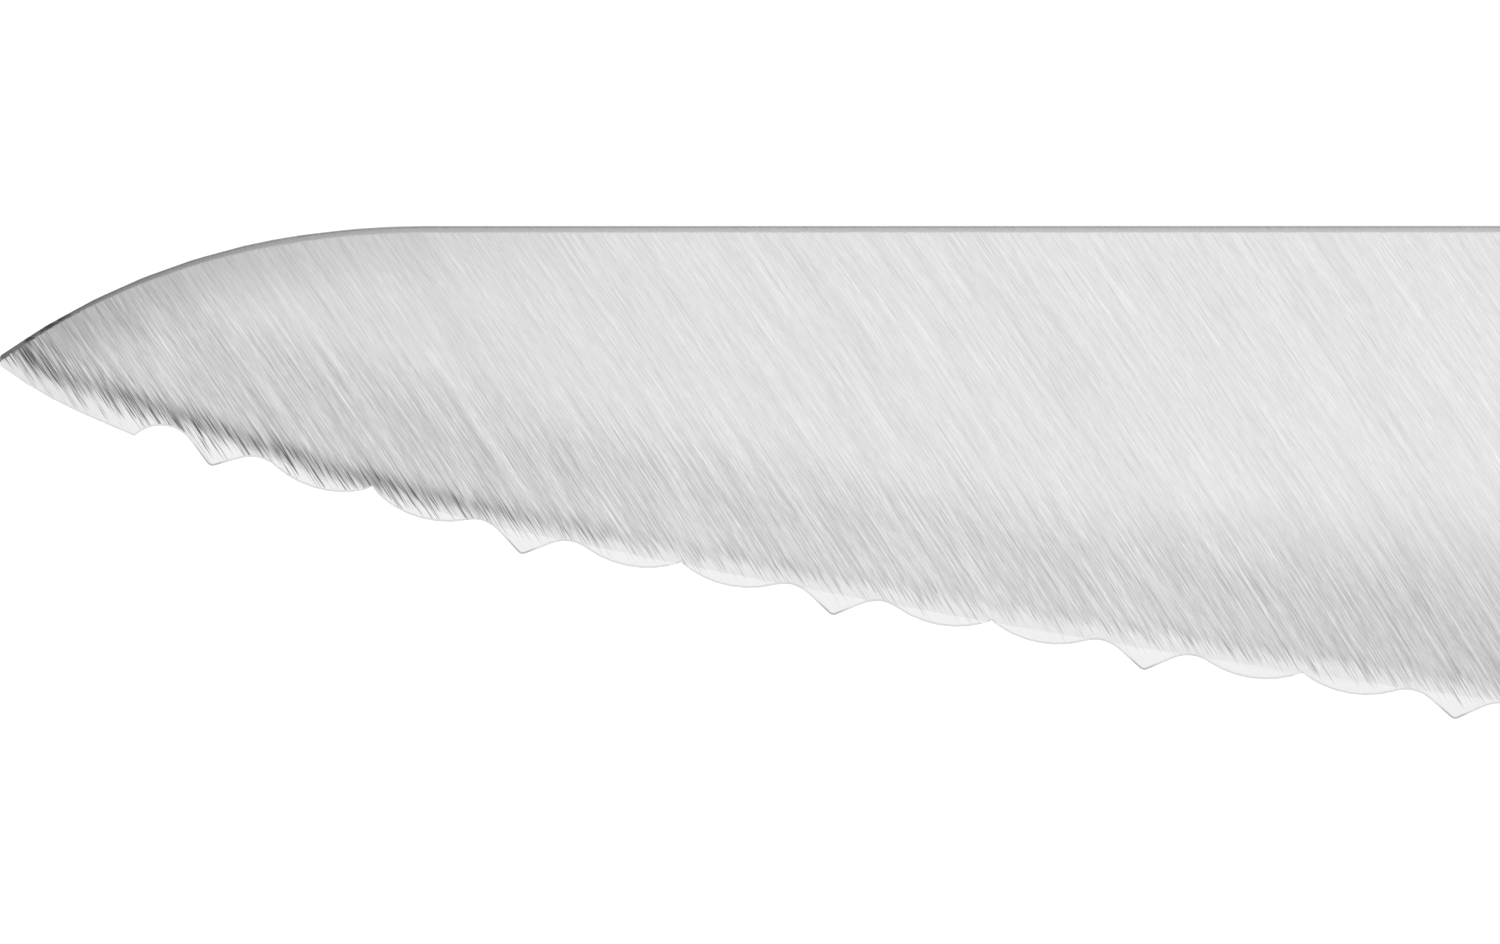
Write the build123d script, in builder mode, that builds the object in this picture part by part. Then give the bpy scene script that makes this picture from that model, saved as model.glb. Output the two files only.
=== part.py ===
from build123d import *
from math import acos, asin, atan2, cos, degrees, dist, radians, sin, sqrt
import os

# Tomato knife: a forged blade with half bolster and full tang, and two riveted scales.
# It lies on its right side: tip towards -X, butt towards +X, spine +Y, cutting edge -Y,
# left face up. Lengths are in mm, angles in degrees.

# Whole knife: the bolster is the front of the handle, a little behind the heel of the blade
blade_length = 130.5
heel_gap = 3.5
handle_length = 113.0
handle_thickness = 15.0

# Blade, thickness measured on the flat faces
spine_at_tip = 0.83
spine_at_heel = 2.0
edge_at_heel = 0.52
spine_round = 0.2

# Spine line: level from the handle, then two arcs down to the tip
drop_start = 20.6
drop_radius = 42.2
drop_angle = 8.3
point_radius = 33.3
tip_height = 0.47
tip_round = 0.2

# Edge line before it is toothed: three arcs, each with the slope that it starts with
edge_radii = (19.5, 103.0, 815.0)
edge_slopes = (37.0, 24.0, 11.65)

# Convex grind along the edge
edge_land = 0.04
edge_angle = 9.0
grind_radius = 33.0
grind_width = 3.2

# Serration: a point and two scallops, repeated up to the heel, ground from the right side
tooth_pitch = 15.0
first_tooth = 10.15
tooth_count = 9
point_round = 0.35
notch_radius = 1.85
notch_place = 2.27
notch_height = 1.02
scallop_radius = 5.2
scallop_height = 0.41
gullet_angle = 17.0

# Handle, with the bolster at its front
neck_height = 16.5
swell_height = 20.0
groove_height = 18.8
handle_height = 24.0
hook_radius = 8.2
butt_radius = 8.6
back_slope = 2.5
handle_round = 4.0
bolster_length = 15.5
cove_radius = 11.0
cove_root = 1.0
heel_radius = 4.5
tang_thickness = 2.0

# Rivets: each is a tube in the left scale and a post that is pressed into it
rivet_head = 6.5
rivet_head_depth = 1.6
rivet_shank = 5.0
rivet_bore = 3.2
rivet_clearance = 0.02
rivet_end_gap = 0.4

# Places on the handle as shares of its length: low and high points of the underside, the end of
# the level back, and for each rivet a share of its height too
neck_share = 0.1
swell_share = 0.52
groove_share = 0.7
back_share = 0.3
rivet_shares = {"front": (0.27, 0.38), "middle": (0.53, 0.42), "rear": (0.79, 0.44)}

# One overrun for all cuts, and the share of it by which the cuts of two pitches overlap
overrun = 6.0
wedge_share = 0.1

handle_front = blade_length + heel_gap
overall_length = handle_front + handle_length
bolster_end = handle_front + bolster_length
web_end = (handle_front + bolster_end) / 2
middle_height = handle_thickness / 2
mid_plane = Plane.XY.offset(middle_height)

# The spine's second arc ends at the tip, where the edge line starts just below it
point_centre = drop_start - (drop_radius - point_radius) * sin(radians(drop_angle))
point_angle = degrees(asin(point_centre / point_radius))
drop_depth = (drop_radius - point_radius) * (1 - cos(radians(drop_angle)))
tip_depth = drop_depth + point_radius * (1 - cos(radians(point_angle))) + tip_height


def edge_arcs():
    """Start, centre and radius of each arc of the edge line, as (along, down) from the tip."""
    arcs = []
    along, down = 0.0, tip_depth
    ends = edge_slopes[1:] + (0.0,)
    for radius, slope, end in zip(edge_radii, edge_slopes, ends):
        centre = (along + radius * sin(radians(slope)), down - radius * cos(radians(slope)))
        arcs.append((along, centre, radius))
        along = centre[0] - radius * sin(radians(end))
        down = centre[1] + radius * cos(radians(end))
    return arcs


def edge_arc_at(along):
    """The arc of the edge line that passes a distance from the tip."""
    return [arc for arc in edge_arcs() if arc[0] <= along][-1]


def edge_depth(along):
    """Depth of the edge line below the spine, at a distance from the tip."""
    start, centre, radius = edge_arc_at(along)
    return centre[1] + sqrt(radius**2 - (along - centre[0]) ** 2)


def edge_slope(along):
    """Slope of the edge line, in degrees below level, at a distance from the tip."""
    start, centre, radius = edge_arc_at(along)
    return degrees(asin((centre[0] - along) / radius))


# The spine and the heel's corner are the knife's widest places, so they set its middle line
heel_depth = edge_depth(blade_length)
spine_y = heel_depth / 2


def at(along, down):
    """Place in the XY plane from the distance behind the tip and the depth below the spine."""
    return (along - overall_length / 2, spine_y - down)


def handle_at(share, down):
    """Place on the handle from a share of its length and a depth below the spine."""
    return at(handle_front + share * handle_length, down)


def wave(start, end):
    """Two like arcs, tangent to each other, between two places where the outline is level."""
    turn = 2 * degrees(atan2(end[1] - start[1], end[0] - start[0]))
    radius = (end[0] - start[0]) / (2 * sin(radians(abs(turn))))
    first = JernArc(start, (1, 0), radius, turn)
    return JernArc(first @ 1, first % 1, radius, -turn)


def blade_face(side):
    """Plane of a flat blade face, its normal outward; side is 1 for left and -1 for right."""
    tip_spine = Vector(*at(0, 0), middle_height + side * spine_at_tip / 2)
    heel_spine = Vector(*at(blade_length, 0), middle_height + side * spine_at_heel / 2)
    heel_edge = Vector(*at(blade_length, heel_depth), middle_height + side * edge_at_heel / 2)
    normal = (heel_edge - tip_spine).cross(heel_spine - tip_spine) * side
    return Plane(origin=tip_spine, x_dir=heel_spine - tip_spine, z_dir=normal)


# Outline of the handle with its rounded edges, one form from which bolster, tang and scales are cut
with BuildPart() as handle_form:
    with BuildSketch(mid_plane):
        with BuildLine():
            neck = handle_at(neck_share, neck_height)
            swell = handle_at(swell_share, swell_height)
            groove = handle_at(groove_share, groove_height)
            hook_start = at(overall_length - hook_radius, handle_height)
            wave(neck, swell)
            wave(swell, groove)
            wave(groove, hook_start)
            hook = JernArc(hook_start, (1, 0), hook_radius, 90)
            back_end = overall_length - butt_radius * (1 - sin(radians(back_slope)))
            back_start = handle_front + back_share * handle_length
            back_radius = (back_end - back_start) / sin(radians(back_slope))
            back = JernArc(at(back_start, 0), (1, 0), back_radius, -back_slope)
            butt = JernArc(back @ 1, back % 1, butt_radius, back_slope - 90)
            Line(butt @ 1, hook @ 1)
            Polyline(
                at(back_start, 0),
                at(handle_front - overrun, 0),
                at(handle_front - overrun, neck_height),
                neck,
            )
        make_face()
    extrude(amount=handle_thickness / 2, both=True)
    rims = handle_form.edges().group_by(Axis.Z)
    fillet(rims[0].sort_by(Axis.X)[1:] + rims[-1].sort_by(Axis.X)[1:], radius=handle_round)

# Bolster: concave coves rise from the blade to the full thickness of the handle
with BuildPart() as bolster:
    add(handle_form.part)
    plan = Plane(
        origin=(*at(handle_front, -overrun), middle_height), x_dir=(1, 0, 0), z_dir=(0, -1, 0)
    )
    with BuildSketch(plan):
        with BuildLine():
            rise = (handle_thickness - cove_root) / 2
            cove = JernArc(
                (0, cove_root / 2), (1, 0), cove_radius, degrees(acos(1 - rise / cove_radius))
            )
            Polyline(
                cove @ 1,
                (bolster_length, handle_thickness / 2),
                (bolster_length, 0),
                (0, 0),
                cove @ 0,
            )
        make_face()
        mirror(about=Plane.XZ)
    extrude(amount=handle_height + 2 * overrun, mode=Mode.INTERSECT)

# The scales butt against the bolster and lie on both flats of the tang
bolster_joint = Plane.YZ.offset(at(bolster_end, 0)[0])
rivet_places = {
    name: handle_at(along, down * handle_height) for name, (along, down) in rivet_shares.items()
}
left_joint = mid_plane.offset(tang_thickness / 2)
right_joint = mid_plane.offset(-tang_thickness / 2)

# Full tang: it shows as a steel line all round between the scales
with BuildPart() as tang:
    add(handle_form.part)
    split(bisect_by=bolster_joint, keep=Keep.TOP)
    split(bisect_by=left_joint, keep=Keep.BOTTOM)
    split(bisect_by=right_joint, keep=Keep.TOP)

# Serration geometry: point, flank, notch and scallop are tangent to each other
notch_centre = (notch_place, notch_height - notch_radius)
point_to_notch = dist((0, point_round), notch_centre)
flank_angle = degrees(
    asin((point_round + notch_radius) / point_to_notch)
    + atan2(notch_centre[1] - point_round, notch_centre[0])
)
flank_length = sqrt(point_to_notch**2 - (point_round + notch_radius) ** 2)
scallop_rise = scallop_height + scallop_radius - notch_centre[1]
scallop_lean = degrees(acos(scallop_rise / (notch_radius + scallop_radius)))
scallop_place = notch_place + (notch_radius + scallop_radius) * sin(radians(scallop_lean))
tooth_places = [first_tooth + number * tooth_pitch for number in range(tooth_count)]


def edge_place(along):
    """Point in the middle of the edge's land, at a distance from the tip."""
    return Vector(*at(along, edge_depth(along)), middle_height)


def gullet_frame(tooth, towards):
    """Plane on the left grind at a tooth, x along the edge, and the way its gullet is ground."""
    along = (edge_place(towards) - edge_place(tooth)).normalized()
    upward = Vector(0, 0, 1)
    inward = Vector(-along.Y, along.X, 0) * (1 if towards > tooth else -1)
    across = inward * cos(radians(edge_angle)) + upward * sin(radians(edge_angle))
    ground = inward * cos(radians(gullet_angle)) - upward * sin(radians(gullet_angle))
    origin = edge_place(tooth) + upward * edge_land / 2 - ground * overrun
    return Plane(origin=origin, x_dir=along, z_dir=along.cross(across)), ground


def tooth_side(notch_turn):
    """Half a tooth's point, its flank and the notch beside it, up to a turn past the notch's top."""
    point = JernArc((0, 0), (1, 0), point_round, flank_angle)
    flank = Line(point @ 1, (point @ 1) + (point % 1) * flank_length)
    return JernArc(flank @ 1, flank % 1, notch_radius, -flank_angle - notch_turn)


with BuildPart() as blade:
    # Flat-ground blade between its spine, heel and untoothed edge, its web ending in the bolster
    with BuildSketch(mid_plane):
        with BuildLine():
            spine = Line(at(web_end, 0), at(drop_start, 0))
            drop = JernArc(spine @ 1, (-1, 0), drop_radius, drop_angle)
            point = JernArc(drop @ 1, drop % 1, point_radius, point_angle - drop_angle)
            tip = Line(point @ 1, at(0, tip_depth))
            edge = tip
            edge_ends = edge_slopes[1:] + (edge_slope(blade_length),)
            for radius, start, end in zip(edge_radii, edge_slopes, edge_ends):
                heading = (cos(radians(start)), -sin(radians(start)))
                edge = JernArc(edge @ 1, heading, radius, start - end)
            heel = Line(edge @ 1, at(blade_length, neck_height + heel_radius))
            choil = JernArc(heel @ 1, (0, 1), heel_radius, -90)
            Polyline(choil @ 1, at(web_end, neck_height), spine @ 0)
        make_face()
    extrude(amount=spine_at_heel, both=True)
    split(bisect_by=blade_face(1), keep=Keep.BOTTOM)
    split(bisect_by=blade_face(-1), keep=Keep.BOTTOM)

    # Eased edges all along the spine, and a rounded tip
    spine_strip = blade.faces().filter_by(lambda face: face.normal_at().Y > abs(face.normal_at().X))
    long_edges = [edge for edge in spine_strip.edges() if abs((edge % 0.5).Z) < abs((edge % 0.5).X)]
    fillet(long_edges, radius=spine_round)
    fillet(blade.edges().filter_by(Axis.Z).group_by(Axis.X)[0], radius=tip_round)

    # Convex grind on both sides, along the whole edge
    lead = Vector(cos(radians(edge_slopes[0])), -sin(radians(edge_slopes[0])))
    lead_start = Vector(*at(0, tip_depth)) - lead * overrun
    run_out = edge_slope(blade_length + overrun)
    with BuildLine(mid_plane) as edge_line:
        path = Line((lead_start.X, lead_start.Y), at(0, tip_depth))
        for radius, start, end in zip(edge_radii, edge_slopes, edge_slopes[1:] + (run_out,)):
            path = JernArc(path @ 1, path % 1, radius, start - end)
    inward = Vector(-lead.Y, lead.X, 0)
    with BuildSketch(Plane(origin=edge_line.line @ 0, x_dir=inward, z_dir=lead)):
        with BuildLine():
            rise_angle = edge_angle - degrees(asin(grind_width / grind_radius))
            grind = RadiusArc(
                (0, edge_land / 2),
                (
                    grind_width,
                    edge_land / 2
                    + grind_width * (sin(radians(edge_angle)) + sin(radians(rise_angle))) / 2,
                ),
                grind_radius,
            )
            Polyline(
                grind @ 1,
                (grind_width, overrun),
                (-overrun, overrun),
                (-overrun, edge_land / 2),
                grind @ 0,
            )
        make_face()
        mirror(about=Plane.XZ)
    sweep(path=edge_line.line, mode=Mode.SUBTRACT)

    # First notch, cut alone in front of the first point
    frame, ground = gullet_frame(first_tooth, first_tooth - 2 * notch_place)
    with BuildSketch(frame):
        with BuildLine():
            notch = tooth_side(90)
            Polyline(
                notch @ 1,
                ((notch @ 1).X, -overrun),
                (0, -overrun),
                (0, 0),
            )
        make_face()
    extrude(amount=2 * overrun, dir=ground, mode=Mode.SUBTRACT)

    # Serration, one pitch at a time: two notches and two scallops that meet in a cusp
    for tooth, next_tooth in zip(tooth_places, tooth_places[1:]):
        frame, ground = gullet_frame(tooth, next_tooth)
        half_chord = (edge_place(next_tooth) - edge_place(tooth)).length / 2
        cusp_lift = degrees(asin((half_chord - scallop_place) / scallop_radius))
        with BuildSketch(frame):
            with BuildLine():
                notch = tooth_side(scallop_lean)
                scallop = JernArc(notch @ 1, notch % 1, scallop_radius, scallop_lean + cusp_lift)
                Polyline(
                    scallop @ 1,
                    (half_chord, -overrun),
                    (-overrun * wedge_share, -overrun),
                    (0, 0),
                )
            make_face()
            mirror(about=Plane.YZ.offset(half_chord))
        extrude(amount=2 * overrun, dir=ground, mode=Mode.SUBTRACT)

    # Bolster and tang are forged in one piece with the blade, and the tang is drilled for the rivets
    add(bolster.part)
    add(tang.part)
    with Locations(*[(*place, middle_height) for place in rivet_places.values()]):
        Hole(rivet_shank / 2 + rivet_clearance)

os.makedirs("parts", exist_ok=True)
blade.part.label = "blade"
export_step(blade.part, "parts/blade.step")

# Scales: flat against tang and bolster, drilled and counterbored for the rivets from outside
scale_sides = {
    "left_scale": (left_joint, Keep.TOP, handle_thickness, 0),
    "right_scale": (right_joint, Keep.BOTTOM, 0, 180),
}
for name, (joint, keep, outer_face, turn) in scale_sides.items():
    with BuildPart() as scale:
        add(handle_form.part)
        split(bisect_by=bolster_joint, keep=Keep.TOP)
        split(bisect_by=joint, keep=keep)
        drill_starts = [Location((*place, outer_face), (turn, 0, 0)) for place in rivet_places.values()]
        with Locations(*drill_starts):
            CounterBoreHole(
                radius=rivet_shank / 2 + rivet_clearance,
                counter_bore_radius=rivet_head / 2 + rivet_clearance,
                counter_bore_depth=rivet_head_depth,
            )
    scale.part.label = name
    export_step(scale.part, "parts/" + name + ".step")

# Rivets: heads flush with the scales, the post pressed into the tube's bore
shank_length = handle_thickness - 2 * rivet_head_depth - rivet_end_gap
for name, place in rivet_places.items():
    with BuildPart() as socket:
        with BuildSketch(Plane.XY.offset(handle_thickness)):
            with Locations(place):
                Circle(rivet_head / 2)
        extrude(amount=-rivet_head_depth)
        with BuildSketch(Plane.XY.offset(handle_thickness - rivet_head_depth)):
            with Locations(place):
                Circle(rivet_shank / 2)
                Circle(rivet_bore / 2, mode=Mode.SUBTRACT)
        extrude(amount=-shank_length)
    socket.part.label = name + "_rivet_socket"
    export_step(socket.part, "parts/" + name + "_rivet_socket.step")

    with BuildPart() as post:
        with BuildSketch(Plane.XY):
            with Locations(place):
                Circle(rivet_head / 2)
        extrude(amount=rivet_head_depth)
        with BuildSketch(Plane.XY.offset(rivet_head_depth)):
            with Locations(place):
                Circle(rivet_bore / 2)
        extrude(amount=shank_length)
    post.part.label = name + "_rivet_post"
    export_step(post.part, "parts/" + name + "_rivet_post.step")
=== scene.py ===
import math

import bmesh
import bpy
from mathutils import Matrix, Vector


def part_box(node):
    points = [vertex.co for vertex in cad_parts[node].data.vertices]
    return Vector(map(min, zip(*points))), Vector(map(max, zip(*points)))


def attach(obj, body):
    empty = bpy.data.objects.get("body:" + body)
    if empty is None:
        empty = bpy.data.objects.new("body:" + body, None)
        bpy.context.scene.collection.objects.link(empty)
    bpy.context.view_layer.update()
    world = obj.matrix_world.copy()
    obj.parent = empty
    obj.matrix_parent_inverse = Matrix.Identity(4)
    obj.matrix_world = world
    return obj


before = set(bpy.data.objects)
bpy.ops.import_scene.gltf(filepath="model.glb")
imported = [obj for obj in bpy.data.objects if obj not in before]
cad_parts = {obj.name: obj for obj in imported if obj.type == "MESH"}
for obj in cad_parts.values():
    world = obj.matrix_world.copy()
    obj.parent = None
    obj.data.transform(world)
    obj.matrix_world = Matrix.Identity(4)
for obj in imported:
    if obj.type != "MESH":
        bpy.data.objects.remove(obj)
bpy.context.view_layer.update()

# The blade: one forging of stainless steel, with serrated blade, half bolster and full tang. Both
# faces are ground flat on a large wheel, which leaves long slanting lines, the edge is ground
# convex and polished, and the bolster is belted to a satin finish together with the handle.


class Measure:
    """A value that varies over a surface: arithmetic on it adds Math nodes to its wiring."""

    def __init__(self, wiring, socket):
        self.wiring, self.socket = wiring, socket

    def work(self, operation, *values):
        return self.wiring.work(operation, *values)

    def __add__(self, other):
        return self.work("ADD", self, other)

    def __radd__(self, other):
        return self.work("ADD", other, self)

    def __sub__(self, other):
        return self.work("SUBTRACT", self, other)

    def __rsub__(self, other):
        return self.work("SUBTRACT", other, self)

    def __mul__(self, other):
        return self.work("MULTIPLY", self, other)

    def __rmul__(self, other):
        return self.work("MULTIPLY", other, self)

    def __truediv__(self, other):
        return self.work("DIVIDE", self, other)

    def __pow__(self, other):
        return self.work("POWER", self, other)

    def __neg__(self):
        return self.work("MULTIPLY", self, -1)

    def least(self, other):
        return self.work("MINIMUM", self, other)

    def most(self, other):
        return self.work("MAXIMUM", self, other)

    def ease(self, start, end):
        """0 up to start, 1 from end on, and a smooth rise between them."""
        inputs = {"Value": self, "From Min": start, "From Max": end}
        return self.wiring.node("ShaderNodeMapRange", {"interpolation_type": "SMOOTHSTEP"}, inputs)

    def toward(self, other, share):
        """This value at share 0, the other one at share 1, and a mix between them."""
        return self + share * (other - self)

    def shown_under(self, light):
        """Base colour with which bare metal shows this eight-bit tone under a light."""
        levels, darkest, display_gamma = 255, 0.02, 2.2
        return (self / levels).most(darkest) ** display_gamma / light


class Wiring:
    """The nodes of one finish, or of the studio light."""

    def __init__(self, tree):
        self.nodes, self.links = tree.nodes, tree.links

    def node(self, kind, settings={}, inputs={}, out=0):
        made = self.nodes.new(kind)
        for name, value in settings.items():
            setattr(made, name, value)
        for name, value in inputs.items():
            self.put(made.inputs[name], value)
        return Measure(self, made.outputs[out])

    def work(self, operation, *values):
        return self.node("ShaderNodeMath", {"operation": operation}, dict(enumerate(values)))

    def put(self, socket, value):
        if isinstance(value, Measure):
            self.links.new(value.socket, socket)
        else:
            socket.default_value = value

    def parts(self, vector, axes="XYZ"):
        """The x, y and z of a vector, or those that are asked for."""
        return [self.node("ShaderNodeSeparateXYZ", {}, {0: vector}, out=axis) for axis in axes]


class Finish(Wiring):
    """The material of one finish, and the places on its piece in millimetres."""

    def __init__(self, name, **constants):
        self.material = bpy.data.materials.new(name)
        self.material.use_nodes = True
        super().__init__(self.material.node_tree)
        self.surface = self.nodes["Principled BSDF"]
        self.show(**constants)
        place = self.node("ShaderNodeTexCoord", out="Object")
        self.x, self.y, self.z = (metres * 1000 for metres in self.parts(place))

    def show(self, **inputs):
        for socket, value in inputs.items():
            self.put(self.surface.inputs[socket.replace("_", " ")], value)

    def coat(self, *pieces):
        """Give this finish to solid pieces, in every slot that they have."""
        for piece in pieces:
            for piece_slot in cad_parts[piece].material_slots:
                piece_slot.material = self.material

    def noise(self, place, detail):
        """Noise from 0 to 1 at a place given in grains."""
        vector = self.node("ShaderNodeCombineXYZ", {}, dict(enumerate(place)))
        inputs = {"Vector": vector, "Scale": 1.0, "Detail": detail, "Roughness": 0.6}
        return self.node("ShaderNodeTexNoise", {}, inputs)

    def lines(self, across, along, width, length, detail, layer):
        """Noise drawn out into lines of a width and length in mm, each layer different."""
        return self.noise((across / width, along / length, layer), detail)

    def belt_lines(self, width, length, detail):
        """Lines along the handle on every side of it, as a sanding belt leaves them."""
        return self.noise((self.x / length, self.y / width, self.z / width), detail)

    def relief(self, height, depth):
        """Normal of a surface whose height, from 0 to 1, stands for a depth in mm."""
        inputs = {"Strength": 1.0, "Distance": depth / 1000, "Height": height}
        return self.node("ShaderNodeBump", {}, inputs)


blade_low, blade_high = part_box("blade")
tip_x = blade_low[0] * 1000
spine_y = blade_high[1] * 1000

steel = Finish("ground_blade_steel", Metallic=1.0, Anisotropic=0.0)
along = steel.x - tip_x
down = spine_y - steel.y

# Distance from the edge line before toothing, in mm: three arcs in a row, each given by its radius
# and its slope at the start, whose centres follow from each other
edge_tip_depth = 6.75
edge_arcs = ((19.5, 37.0), (103.0, 24.0), (815.0, 11.65))
arc_start, arc_depth = 0.0, edge_tip_depth
inside = None
for number, (radius, slope) in enumerate(edge_arcs):
    centre_along = arc_start + radius * math.sin(math.radians(slope))
    centre_down = arc_depth - radius * math.cos(math.radians(slope))
    from_arc = radius - ((along - centre_along) ** 2 + (down - centre_down) ** 2) ** 0.5
    if inside is None:
        inside = from_arc
    else:
        inside = inside.toward(from_arc, steel.work("GREATER_THAN", along, arc_start))
    if number + 1 < len(edge_arcs):
        next_slope = math.radians(edge_arcs[number + 1][1])
        arc_start = centre_along - radius * math.sin(next_slope)
        arc_depth = centre_down + radius * math.cos(next_slope)

# Distance from the spine line: level, then two arcs down to the tip
spine_drop = 20.6
drop_radius, point_radius = 42.2, 33.3
drop_turn = math.radians(8.3)
drop_end = spine_drop - drop_radius * math.sin(drop_turn)
point_along = spine_drop - (drop_radius - point_radius) * math.sin(drop_turn)
point_down = drop_radius - (drop_radius - point_radius) * math.cos(drop_turn)
from_drop = drop_radius - ((along - spine_drop) ** 2 + (down - drop_radius) ** 2) ** 0.5
from_point = point_radius - ((along - point_along) ** 2 + (down - point_down) ** 2) ** 0.5
under_spine = down.toward(from_drop, steel.work("LESS_THAN", along, spine_drop))
under_spine = under_spine.toward(from_point, steel.work("LESS_THAN", along, drop_end))

# Grind lines: slight arcs of a large wheel, slanting down towards the heel
wheel_slant, wheel_bow = 0.70, 0.002
slant = along - down * (wheel_slant - wheel_bow * down)
broad = steel.lines(slant, down, width=0.9, length=40.0, detail=2.0, layer=0.5) - 0.5
middle = steel.lines(slant, down, width=0.24, length=11.0, detail=2.0, layer=3.5) - 0.5
fine = steel.lines(slant, down, width=0.065, length=3.0, detail=2.0, layer=7.5) - 0.5
dust = steel.lines(slant, down, width=0.05, length=0.5, detail=1.0, layer=11.5) - 0.5
hairs = steel.lines(slant, down, width=0.09, length=4.2, detail=1.0, layer=15.5)
dark_hairs = hairs.ease(0.62, 0.74)
light_hairs = 1 - hairs.ease(0.26, 0.38)
strokes = steel.lines(slant, down, width=0.075, length=1.7, detail=1.0, layer=19.5)
strokes = strokes.ease(0.48, 0.66)

# Tone of the flats, in the eight-bit levels of a photograph, with painted light and shade: lighter
# towards the heel, and painted shade towards tip, spine and edge
flat_tone_with_painted_light = 211.5 + 6.5 * along.ease(12, 34) + 0.115 * along
tip_shade = 10 * steel.work("EXPONENT", along / -4.0)
spine_shade = 25 * (1 - along.ease(4, 34)) * (1 - under_spine.ease(0.3, 3.6))
edge_shade = 4 + 8 * along.ease(4, 20) + 13 * along.ease(50, 72)
edge_shade = edge_shade * (1 - inside.ease(4.2, 8.5 + 3.5 * along.ease(50, 72)))
near_tip = 1 - along.ease(18, 34)
# Painted shade: a dark band just above the polished edge, strongest near the tip, standing in for
# the reflection where the convex grind meets the flat
dark_band_line, dark_band_width = 1.05 + 0.7 * along.ease(1, 9), 0.47
dark_band_place = (inside - dark_band_line) / dark_band_width
dark_band_shade = (6 + 24 * near_tip) * (1 - along.ease(36, 52))
dark_band_shade = dark_band_shade * steel.work("EXPONENT", -dark_band_place * dark_band_place)
shaded_tone = flat_tone_with_painted_light - tip_shade - spine_shade - edge_shade - dark_band_shade

# The same lines stand out more the nearer they come to the polished edge: the lines are the grind's
# own, and their extra contrast and dark strokes there are painted reflection
near_edge = 1 - inside.ease(5, 9)
next_to_edge = (1 - inside.ease(1.2, 3.0)) * (0.18 + 0.82 * near_tip)
grain = 12 * broad + 15 * middle + 42 * fine + 30 * dust - 7 * dark_hairs + 6 * light_hairs
near_grain = 6 * middle + 52 * fine + 14 * dust - 8 * strokes
next_grain = 6 * middle + 150 * fine + 44 * dust - 58 * strokes
body_tone = shaded_tone + grain + near_edge * near_grain + next_to_edge * next_grain

# Polished edge, its border torn by the grind lines that run out into it
torn = inside + 0.35 * middle + 2.9 * fine + 0.4 * broad + 0.5 * strokes
border = 0.5 + 0.37 * along.ease(2, 10) + 0.45 * along.ease(8, 44)
border_width = 0.65 + 0.15 * along.ease(2, 12)
polished = 1 - torn.ease(border, border + border_width)
edge_tone = 231 + 12 * along.ease(2, 8) + 6 * middle + 10 * fine
tone = body_tone.toward(edge_tone, polished)

# Gullets on the right side: ground by a round wheel, which left short lines square to the edge
face_x, face_z = steel.parts(steel.node("ShaderNodeNewGeometry", out="Normal"), "XZ")
turned_down = -face_z
gullet = turned_down.ease(0.70, 0.74) * (1 - turned_down.ease(0.964, 0.978))
gullet = gullet * (1 - inside.ease(3.4, 3.8))
round_wheel = along + 0.25 * down
wheel_lines = steel.lines(round_wheel, inside, width=0.07, length=4.0, detail=2.0, layer=27.5) - 0.5
gullet_tone = 232 + 26 * wheel_lines
tone = tone.toward(gullet_tone, gullet)
polished = polished.most(gullet)

# Spine: a narrow darker strip of painted shade, for the darker reflection where the face is rounded
# over, ragged on its lower side and darkest towards the tip
strip_end = 0.22 + 0.09 * along.ease(2, 14) + 0.10 * fine + 0.2 * dust
painted_spine_strip = 1 - under_spine.ease(strip_end - 0.04, strip_end + 0.05)
blots = steel.lines(along, down, width=0.5, length=0.25, detail=1.0, layer=23.5).ease(0.42, 0.6)
painted_spine_strip_tone = 190 - 82 * steel.work("EXPONENT", along / -12.0) + 30 * dust
painted_spine_strip_tone = painted_spine_strip_tone - 45 * blots * (1 - along.ease(2.5, 4.5))
tone = tone.toward(painted_spine_strip_tone, painted_spine_strip)

# Bolster and tang: belted along the handle, from the line where the cove rises out of the blade,
# and across it in the cove itself
bolster_start, bolster_lean = 137.4, 0.11
on_bolster = (along - (bolster_start - bolster_lean * down)).ease(-0.1, 0.1)
in_cove = steel.work("ABSOLUTE", face_x).ease(0.05, 0.25)
lengthwise = steel.belt_lines(width=0.16, length=14.0, detail=3.0)
crosswise = steel.noise((along / 0.22, down / 12, steel.z / 0.22), detail=3.0)
belted = lengthwise.toward(crosswise, in_cove) - 0.5
scratched = (1 - in_cove) * (steel.belt_lines(width=0.05, length=5.0, detail=1.0) - 0.5)
bolster_tone = 216 + 34 * belted + 20 * scratched
tone = tone.toward(bolster_tone, on_bolster)

# The light that each tone is painted for: the studio's from above, and more at the turned edge
zenith_light, edge_gain = 1.15, 0.2
edge_light = edge_gain * (1 - inside.ease(0.3, 2.6)) * (1 - on_bolster)
roughness = 0.30 - 0.08 * polished * (1 - on_bolster)
ground_height = (0.6 * fine + 0.4 * middle).toward(wheel_lines, gullet)
belt_height = 0.7 * belted + 0.3 * scratched
steel.show(
    Base_Color=tone.shown_under(zenith_light + edge_light),
    Roughness=roughness + 0.12 * fine + 0.16 * on_bolster * belted,
    Normal=steel.relief(ground_height.toward(belt_height, on_bolster), depth=0.0008),
)
steel.coat("blade")

# The honed edge: the last tenth of a millimetre of the toothed edge, where a fine stone has turned
# the polished bevel down. It is part of the forging, a band too fine for its solid, and follows
# every tooth.

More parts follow.
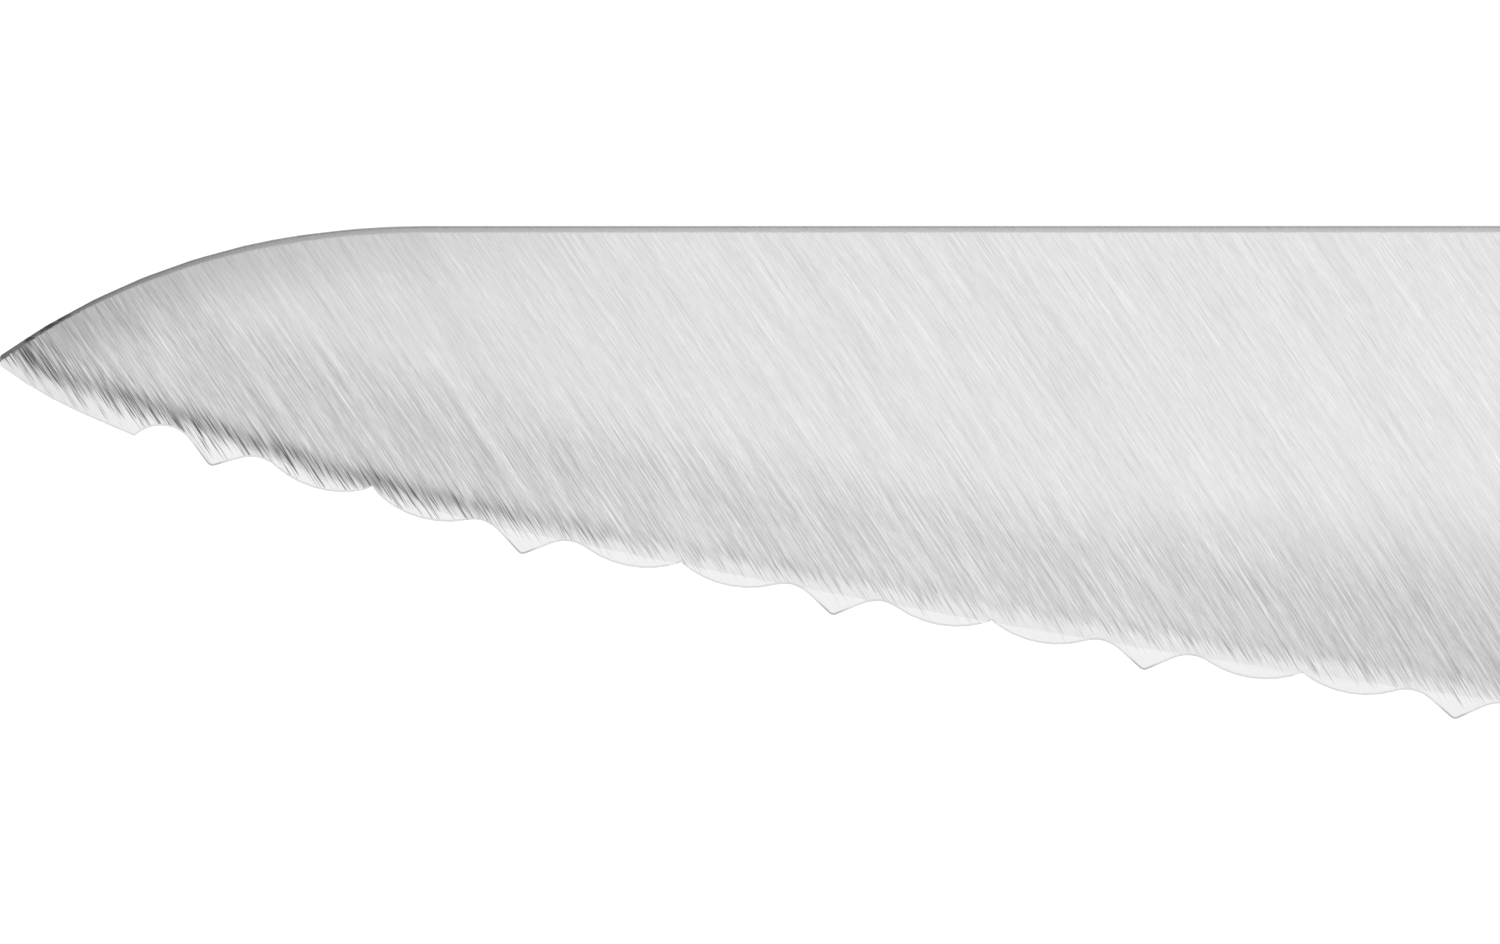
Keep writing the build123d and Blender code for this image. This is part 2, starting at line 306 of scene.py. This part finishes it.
# Its rim: where the blade's upper face, nearly level, meets the side of a tooth
blade_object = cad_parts["blade"]
bare_blade = bmesh.new()
bare_blade.from_mesh(blade_object.data)
bmesh.ops.remove_doubles(bare_blade, verts=bare_blade.verts, dist=1e-7)
hone_width, hone_lift, hone_depth = 0.09e-3, 0.002e-3, 0.012e-3
level, sideways = 0.9, 0.5
heel_corner = min(bare_blade.verts, key=lambda vertex: vertex.co.y - vertex.co.z).co.copy()
rim_places = {}
for edge in bare_blade.edges:
    rises = sorted(face.normal.z for face in edge.link_faces)
    for vertex in edge.verts:
        below_tip = spine_y - vertex.co.y * 1000 > edge_tip_depth
        before_heel = vertex.co.x < heel_corner.x - hone_width
        if rises[0] < sideways and rises[-1] > level and below_tip and before_heel:
            rim_places[vertex.index] = vertex.co.copy()
rim = sorted(rim_places.values(), key=lambda place: place.x) + [heel_corner]
bare_blade.free()

hone_shape = bmesh.new()
sections = []
up_a_little, into_steel = Vector((0, 0, hone_lift)), Vector((0, 0, -hone_depth))
well_above, straight_down = Vector((0, 0, 1e-3)), Vector((0, 0, -1))
for before, place, after in zip(rim, rim[1:], rim[2:]):
    heading = (after - before).normalized()
    inward = Vector((-heading.y, heading.x, 0)).normalized()
    shelf = place + inward * hone_width
    landing = blade_object.ray_cast(shelf + well_above, straight_down)[1]
    places = (place + up_a_little, landing + up_a_little, (place + shelf) / 2 + into_steel)
    sections.append([hone_shape.verts.new(corner) for corner in places])
for section, following in zip(sections, sections[1:]):
    for near, far in ((0, 1), (1, 2), (2, 0)):
        hone_shape.faces.new((section[near], section[far], following[far], following[near]))
hone_shape.faces.new(sections[0][::-1])
hone_shape.faces.new(sections[-1])
bmesh.ops.recalc_face_normals(hone_shape, faces=hone_shape.faces)
hone_mesh = bpy.data.meshes.new("honed_edge")
hone_shape.to_mesh(hone_mesh)
hone_shape.free()
honed_edge = bpy.data.objects.new("honed_edge", hone_mesh)
bpy.context.scene.collection.objects.link(honed_edge)

# Painted shade: the band is painted grey for its steeper honed facet, and darker round each tooth's
# point, where the edge curves; the stone marks are its own
hone = Finish("honed_edge_steel", Metallic=1.0)
first_point, point_pitch = 10.15, 15.0
pitches = (hone.x - tip_x - first_point) / point_pitch
from_tooth = hone.work("ABSOLUTE", pitches - hone.work("ROUND", pitches)) * point_pitch
stone_marks = hone.lines(hone.x, hone.y, width=0.09, length=0.4, detail=1.0, layer=2.5) - 0.5
hone_tone_painted_shade = 227 - 34 * (1 - from_tooth.ease(0.3, 0.9)) + 24 * stone_marks
hone.show(
    Base_Color=hone_tone_painted_shade.shown_under(zenith_light + edge_gain),
    Roughness=0.32 + 0.1 * stone_marks,
    Normal=hone.relief(stone_marks, depth=0.0005),
)
hone_mesh.materials.append(hone.material)
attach(honed_edge, "root")

# The handle scales: two halves of black moulded plastic, flat on the inside, riveted to the tang
# and then belted to one shape with it, which leaves fine lines along the handle, and round its
# butt, under a satin polish.

plastic = Finish("satin_black_plastic", Metallic=0.0, IOR=1.47)
plastic_normal = plastic.node("ShaderNodeNewGeometry", out="Normal")
butt_ward = plastic.parts(plastic_normal, "X")[0].ease(0.25, 0.7)
off_butt = 1 - butt_ward
along_handle = plastic.belt_lines(width=0.20, length=16.0, detail=3.0)
round_butt = plastic.noise((plastic.x / 0.20, plastic.y / 16, plastic.z / 0.20), detail=3.0)
belt = along_handle.toward(round_butt, butt_ward) - 0.5
passes = off_butt * (plastic.belt_lines(width=0.9, length=60.0, detail=2.0) - 0.5)
scuffs = plastic.belt_lines(width=0.05, length=2.4, detail=1.0)
light_scuffs = off_butt * scuffs.ease(0.66, 0.78)
handling = plastic.noise((plastic.x / 21, plastic.y / 9, plastic.z / 9), detail=3.0) - 0.5
black = 0.0085 + 0.016 * belt + 0.010 * passes + 0.012 * light_scuffs + 0.006 * handling
plastic.show(
    Base_Color=black.most(0.003),
    Roughness=0.36 + 0.30 * belt + 0.24 * passes + 0.12 * light_scuffs + 0.30 * handling,
    Normal=plastic.relief(0.7 * belt + 0.3 * off_butt * scuffs, depth=0.006),
)
plastic.coat("left_scale", "right_scale")

# The rivets: three cutler's rivets of stainless steel, each a tube with a post pressed into it.
# Their heads sit in counterbores and are belted flush with the scales, which eases their rims a
# little.

rivet = Finish("flush_rivet_steel", Metallic=1.0)
rivet_places = ("front", "middle", "rear")
head_radius, head_rim = 3.25, 0.22
reaches = []
for place in rivet_places:
    low_corner, high_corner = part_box(f"{place}_rivet_socket")
    centre_x, centre_y = ((low_corner[axis] + high_corner[axis]) / 2 * 1000 for axis in (0, 1))
    reaches.append(((rivet.x - centre_x) ** 2 + (rivet.y - centre_y) ** 2) ** 0.5)
head_reach = reaches[0].least(reaches[1]).least(reaches[2])
# Painted shade on the eased rim of each head, darker towards its edge, along with the bump that
# rounds it
rim_shade = head_reach.ease(head_radius - head_rim, head_radius - 0.02)
rivet_belt = rivet.belt_lines(width=0.12, length=9.0, detail=3.0) - 0.5
rivet_scratches = rivet.belt_lines(width=0.04, length=2.5, detail=1.0) - 0.5
rivet_tone = 205 + 44 * rivet_belt + 26 * rivet_scratches - 70 * rim_shade
rivet.show(
    Base_Color=rivet_tone.shown_under(zenith_light),
    Roughness=0.29 + 0.16 * rivet_belt + 0.1 * rim_shade,
    Normal=rivet.relief(0.7 * rivet_belt + 0.3 * rivet_scratches - 4 * rim_shade, depth=0.0015),
)
rivet.coat(*(f"{place}_rivet_{half}" for place in rivet_places for half in ("socket", "post")))

# The light table: not part of the knife, but a wide, pale, matt panel that it lies on. It glows
# evenly, so that the knife is seen on plain white, as in the photograph.

table_half, table_drop = 6.0, 0.2e-3
table_mesh = bpy.data.meshes.new("light_table")
table_shape = bmesh.new()
corners = [(-1, -1), (1, -1), (1, 1), (-1, 1)]
table_shape.faces.new(
    [table_shape.verts.new((x * table_half, y * table_half, -table_drop)) for x, y in corners]
)
table_shape.to_mesh(table_mesh)
table_shape.free()
table = bpy.data.objects.new("light_table", table_mesh)
bpy.context.scene.collection.objects.link(table)
white, half_grey = (1, 1, 1, 1), (0.5, 0.5, 0.5, 1)
lit_table = Finish("lit_table", Base_Color=half_grey, Roughness=0.9)
lit_table.show(Emission_Color=white, Emission_Strength=0.65)
table_mesh.materials.append(lit_table.material)

# The studio light: one soft light from all round, brightest above and a little to the front, dim
# behind the spine, with a broad faint lamp low in front and another behind.

studio = bpy.data.worlds.new("studio")
bpy.context.scene.world = studio
studio.use_nodes = True
sky = Wiring(studio.node_tree)
background = sky.nodes["Background"]
east, north, up = sky.parts(sky.node("ShaderNodeTexCoord", out="Generated"))
front = -0.35 * east - 0.94 * north
horizon_light = 0.42
strength = horizon_light + (zenith_light - horizon_light) * up.ease(0.0, 0.74)
strength = strength + 0.2 * front.ease(0.10, 0.30) * up.ease(0.5, 0.9)
strength = strength - 0.16 * north.ease(0.4, 0.9) - 0.08 * east.ease(0.4, 0.9)
front_lamp, rear_lamp = 0.45, 0.3
lamp_height = up.ease(0.22, 0.34) * (1 - up.ease(0.56, 0.68))
lamps = front_lamp * front.ease(0.4, 0.8) + rear_lamp * (-front).ease(0.4, 0.8)
sky.put(background.inputs["Strength"], strength + lamps * lamp_height)
sky.put(background.inputs["Color"], white)

# The camera: straight above the front of the blade's left face, as in the photograph, whose 1500
# by 944 pixels show 72 mm of blade from the tip on.

pixels_per_mm = 20.73
photo_width, photo_height = 1500, 944
spine_pixel = 226
camera_height = 0.5
view_width = photo_width / pixels_per_mm
camera_data = bpy.data.cameras.new("camera")
camera_data.sensor_width = 36.0
camera_data.lens = camera_data.sensor_width * camera_height * 1000 / view_width
camera_data.clip_start, camera_data.clip_end = 0.01, 50.0
camera = bpy.data.objects.new("camera", camera_data)
bpy.context.scene.collection.objects.link(camera)
mid_blade_z = (blade_low[2] + blade_high[2]) / 2
camera.location = (
    (tip_x + view_width / 2) / 1000,
    (spine_y - (photo_height / 2 - spine_pixel) / pixels_per_mm) / 1000,
    mid_blade_z + camera_height,
)
bpy.context.scene.camera = camera
bpy.context.scene.view_settings.view_transform = "Standard"
